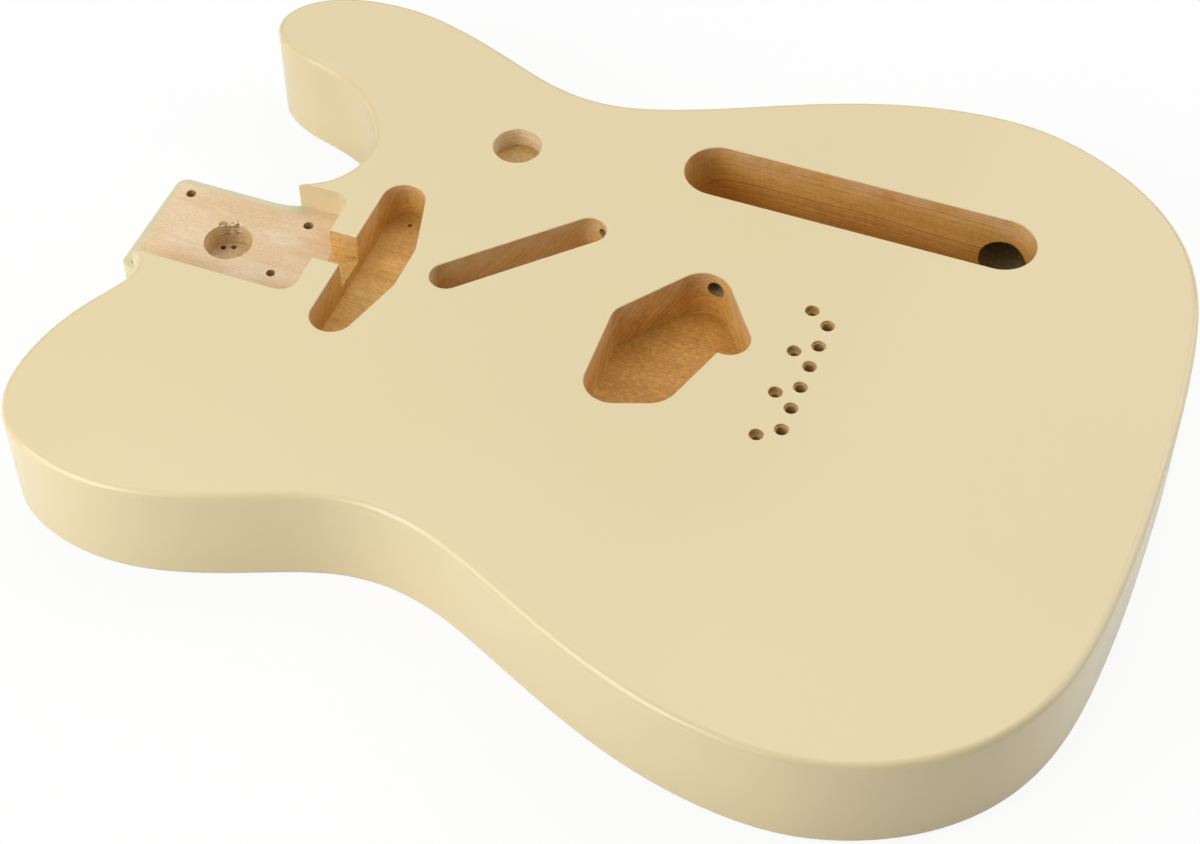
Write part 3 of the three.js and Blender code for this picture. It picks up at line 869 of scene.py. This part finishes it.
# Its floor takes the darker look that paints shade onto it
def bridgeRoutCutter():
    return routCutter(
        "bridge", [(bridgeRout["x"] + x, y, radius) for x, y, radius in bridgeRout["corners"]],
        bridgeRout["depth"], shadedFloorSlot, bridgeWallSlot)


controlCavity = {"place": (61.26, 91.05), "span": 113.5, "width": 27.4, "depth": 38.0, "jackBore": 21.0}


def controlCutter():
    return routCutter(
        "control", slotCorners(controlCavity["place"], controlCavity["span"], controlCavity["width"]),
        controlCavity["depth"], sealedSlot, sealedSlot)


waistHole = {"diameter": 19.6, "depth": 8.2, "place": (-74.35, 76.64)}


def waistHoleCutter():
    wall = waistHole["diameter"] / 2 - cutting["wallInset"]
    profile = rimProfile(wall, faceHeight - waistHole["depth"], cutting["rimRound"])
    return turnedCutter(
        "waist", *waistHole["place"], profile, waistFloorSlot, waistSlot, cutting["roundSteps"])


def rowHole(name, x, y, profile):
    return turnedCutter(name, x, y, profile, drillSlot, drillSlot, cutting["holeSteps"], cutting["holeRound"])


stringRow = {
    "x": 69.32, "count": 6, "pitch": 10.8, "hole": 4.1, "mouth": 5.3, "mouthDepth": 0.9, "mouthCone": 0.25,
    "ferrule": 8.0, "ferruleDepth": 9.5,
}


def stringHoles():
    row = stringRow
    ringFloor = faceHeight - row["mouthDepth"]
    profile = [
        (row["ferrule"] / 2, -cutting["overrun"]), (row["ferrule"] / 2, row["ferruleDepth"]),
        (row["hole"] / 2, row["ferruleDepth"]), (row["hole"] / 2, ringFloor - row["mouthCone"]),
        *rimProfile(row["mouth"] / 2, ringFloor, cutting["holeRound"])]
    return [
        rowHole("string", row["x"], (i - (row["count"] - 1) / 2) * row["pitch"], profile)
        for i in range(row["count"])]


bridgeScrews = {
    "count": 4, "stringsApart": 2, "beforeStrings": 7.7, "hole": 3.0, "mouthDepth": 2.4, "mouthCone": 0.6,
    "depth": 20.0,
}


def bridgeScrewHoles():
    row = bridgeScrews
    ringFloor = faceHeight - row["mouthDepth"]
    profile = [
        (row["hole"] / 2, faceHeight - row["depth"]), (row["hole"] / 2, ringFloor - row["mouthCone"]),
        *rimProfile(stringRow["mouth"] / 2, ringFloor, cutting["holeRound"])]
    return [
        rowHole("screw", stringRow["x"] - row["beforeStrings"],
                (i - (row["count"] - 1) / 2) * row["stringsApart"] * stringRow["pitch"], profile)
        for i in range(row["count"])]


# Each bore's diameter and its centre's drop below the face
wireHoles = {
    "neck": 6.0, "neckDrop": 12.0, "slot": 5.0, "slotDrop": 6.1, "slotSteps": 36,
    "bridge": 7.0, "bridgeDrop": 7.6, "bridgeX": 22.64, "bridgeStart": 26.2,
}


# Bores between the hollows and out of the side
def wireBores():
    slotReach = Matrix.Rotation(math.radians(wireSlot["turn"]), 2) @ Vector((wireSlot["span"] / 2, 0))
    slotNeck, slotTail = Vector(wireSlot["place"]) - slotReach, Vector(wireSlot["place"]) + slotReach
    controlX, controlY = controlCavity["place"]
    neckX, tailX = controlX - controlCavity["span"] / 2, controlX + controlCavity["span"] / 2
    bridgeX = wireHoles["bridgeX"]
    return [
        levelBore("neckWire", (neckRoutX + neckRout["width"] / 2, slotNeck.y), slotNeck,
                  faceHeight - wireHoles["neckDrop"], wireHoles["neck"], drillSlot),
        levelBore("slotWire", slotTail, (neckX, controlY),
                  faceHeight - wireHoles["slotDrop"], wireHoles["slot"], drillSlot, wireHoles["slotSteps"]),
        levelBore("bridgeWire", (bridgeX, wireHoles["bridgeStart"]), (bridgeX, controlY),
                  faceHeight - wireHoles["bridgeDrop"], wireHoles["bridge"], shadedBoreSlot),
        levelBore("jack", (tailX, controlY), (tailX, blank["halfWidth"] + cutting["clear"]),
                  faceHeight / 2, controlCavity["jackBore"], shadedBoreSlot, cutting["roundSteps"])]


# Cutters that touch each other go in separate cuts
def cutBody(body):
    cutAway(body, [
        pocketCutter(), neckRoutCutter(), wireSlotCutter(), bridgeRoutCutter(), controlCutter(),
        waistHoleCutter(), *stringHoles(), *bridgeScrewHoles()])
    print("routs and holes cut:", len(body.data.polygons), "faces")
    cutAway(body, [channelCutter(), *neckScrewHoles(), spareHoleCutter(), roundHoleCutter(), *wireBores()])
    cutAway(body, [*roundHoleNails(), neckRoutNail(), *tornBites()])
    print("small bores cut:", len(body.data.polygons), "faces")


body = makeBlank(faceHeight, blank["edgeRound"])
print("blank made:", len(body.data.vertices), "points")
cutBody(body)

# Each board's node and the glue lines that it lies between
seam = 58.0
boards = {
    "centre_board": ("board_centre", -seam, seam),
    "treble_board": ("board_treble", seam, None),
    "bass_board": ("board_bass", None, -seam),
}
sawing = {
    "shelfBand": 0.01, "shelfMerge": 0.002, "planeTouch": 1e-5, "sharpAngle": 28.0, "faceWeight": 100}


# Takes off what lies past a glue line, and closes the cut with bare wood
def sawAlong(work, place, normal):
    everything = work.verts[:] + work.edges[:] + work.faces[:]
    cut = bmesh.ops.bisect_plane(
        work, geom=everything, plane_co=(0, place, 0), plane_no=normal, clear_outer=True,
        dist=sawing["planeTouch"])
    rim = [g for g in cut["geom_cut"] if isinstance(g, bmesh.types.BMEdge) and g.is_boundary]
    filled = bmesh.ops.triangle_fill(work, edges=rim, use_beauty=True, use_dissolve=False, normal=normal)
    for face in filled["geom"]:
        if isinstance(face, bmesh.types.BMFace):
            face.material_index = rawSlot


# One board sawn out of the shaped body along its glue lines
def sawBoard(name, node, low, high):
    work = bmesh.new()
    work.from_mesh(body.data)
    shelfEdge = pocketFloor - blank["heelEdge"]
    along = [v for v in work.verts if abs(v.co.z - shelfEdge) < sawing["shelfBand"]]
    # The cuts leave two copies of the shelf's edge
    bmesh.ops.remove_doubles(work, verts=along, dist=sawing["shelfMerge"])
    for place, normal in ((low, (0, -1, 0)), (high, (0, 1, 0))):
        if place is not None:
            sawAlong(work, place, normal)
    bmesh.ops.recalc_face_normals(work, faces=work.faces[:])
    loose = sum(1 for e in work.edges if not e.is_manifold)
    print(name, "open edges", loose, "volume", round(work.calc_volume()), "cubic millimetres")
    bmesh.ops.scale(work, vec=(mm, mm, mm), verts=work.verts[:])
    board = makeObject(name, work, materials)
    if name == "treble_board":
        board.data.materials[sealedSlot] = trebleAlder
    board.data.shade_smooth()
    board.data.set_sharp_from_angle(angle=math.radians(sawing["sharpAngle"]))
    weighted = board.modifiers.new("even normals", "WEIGHTED_NORMAL")
    weighted.mode = "FACE_AREA"
    weighted.weight = sawing["faceWeight"]
    weighted.keep_sharp = True
    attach(board, "root")
    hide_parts(node)


for name, values in boards.items():
    sawBoard(name, *values)
bpy.data.objects.remove(body)
print("boards sawn")

# Camera, in millimetres and degrees
cameraSettings = {
    "place": (227.3, -612.1, 738.2), "target": (9.2, -47.0, 45.0), "roll": -0.245,
    "lens": 77.51, "sensor": 36.0, "shiftX": -0.00297, "shiftY": 0.00137}
lens = bpy.data.cameras.new("camera")
lens.lens, lens.sensor_width = cameraSettings["lens"], cameraSettings["sensor"]
lens.shift_x, lens.shift_y = cameraSettings["shiftX"], cameraSettings["shiftY"]
camera = bpy.data.objects.new("camera", lens)
bpy.context.scene.collection.objects.link(camera)
camera.location = Vector(cameraSettings["place"]) * mm
aim = (Vector(cameraSettings["target"]) - Vector(cameraSettings["place"])).to_track_quat("-Z", "Y")
camera.rotation_euler = (aim @ Quaternion((0, 0, 1), math.radians(cameraSettings["roll"]))).to_euler()
bpy.context.scene.camera = camera

# Floor, in metres from its middle to each side
floorReach = 3.0
work = bmesh.new()
bmesh.ops.create_grid(work, x_segments=1, y_segments=1, size=floorReach)
floor = makeObject("floor", work)
floorLook = {
    "colour": "#EDEDEB", "roughness": 0.9, "white": "#FFFFFF", "whiteShare": 0.9, "glossyShare": 0.3}


# Pale paper that shows white to the camera, and weaker in the lacquer's reflections
def paleFloor():
    look = floorLook
    material, tree, shader = newMaterial("pale_seamless_paper")
    shader.inputs["Base Color"].default_value = linearColour(look["colour"])
    shader.inputs["Roughness"].default_value = look["roughness"]
    white = addNode(tree, "ShaderNodeEmission", {"Color": linearColour(look["white"]), "Strength": 1.0})
    ray = addNode(tree, "ShaderNodeLightPath")
    seen = combined(tree, "MAXIMUM", ray.outputs["Is Camera Ray"], ray.outputs["Is Transmission Ray"])
    share = combined(
        tree, "MAXIMUM", product(tree, seen, look["whiteShare"]),
        product(tree, ray.outputs["Is Glossy Ray"], look["glossyShare"]))
    mixed = addNode(
        tree, "ShaderNodeMixShader", {}, {0: share, 1: shader.outputs[0], 2: white.outputs[0]})
    tree.links.new(mixed.outputs[0], tree.nodes["Material Output"].inputs["Surface"])
    return material


floor.data.materials.append(paleFloor())

studioLevel = 0.02
world = bpy.data.worlds.new("studio")
bpy.context.scene.world = world
world.use_nodes = True
world.node_tree.nodes["Background"].inputs["Color"].default_value = (1, 1, 1, 1)
world.node_tree.nodes["Background"].inputs["Strength"].default_value = studioLevel

# Soft boxes round the object: degrees round from the camera's side and up, distance, size and power
softBoxes = {
    "left box": (-44, 27, 1.4, 1.05, 11.5), "front left box": (-25, 35, 1.5, 1.0, 6.0),
    "overhead box": (0, 90, 1.5, 2.0, 8.3), "right back box": (120, 25, 1.4, 1.2, 8.2),
    "tail back box": (150, 45, 1.5, 1.4, 4.2), "horn back box": (-159, 49, 1.5, 1.7, 8.2)}


def addSoftBox(name, azimuth, elevation, distance, size, power):
    data = bpy.data.lights.new(name, "AREA")
    data.shape, data.size, data.energy = "SQUARE", size, power
    lamp = bpy.data.objects.new(name, data)
    bpy.context.scene.collection.objects.link(lamp)
    turn, lift = math.radians(azimuth), math.radians(elevation)
    away = Vector((math.sin(turn) * math.cos(lift), -math.cos(turn) * math.cos(lift), math.sin(lift)))
    lamp.location = away * distance
    lamp.rotation_euler = (-away).to_track_quat("-Z", "Y").to_euler()


for name, values in softBoxes.items():
    addSoftBox(name, *values)

bpy.context.scene.view_settings.view_transform = "Standard"
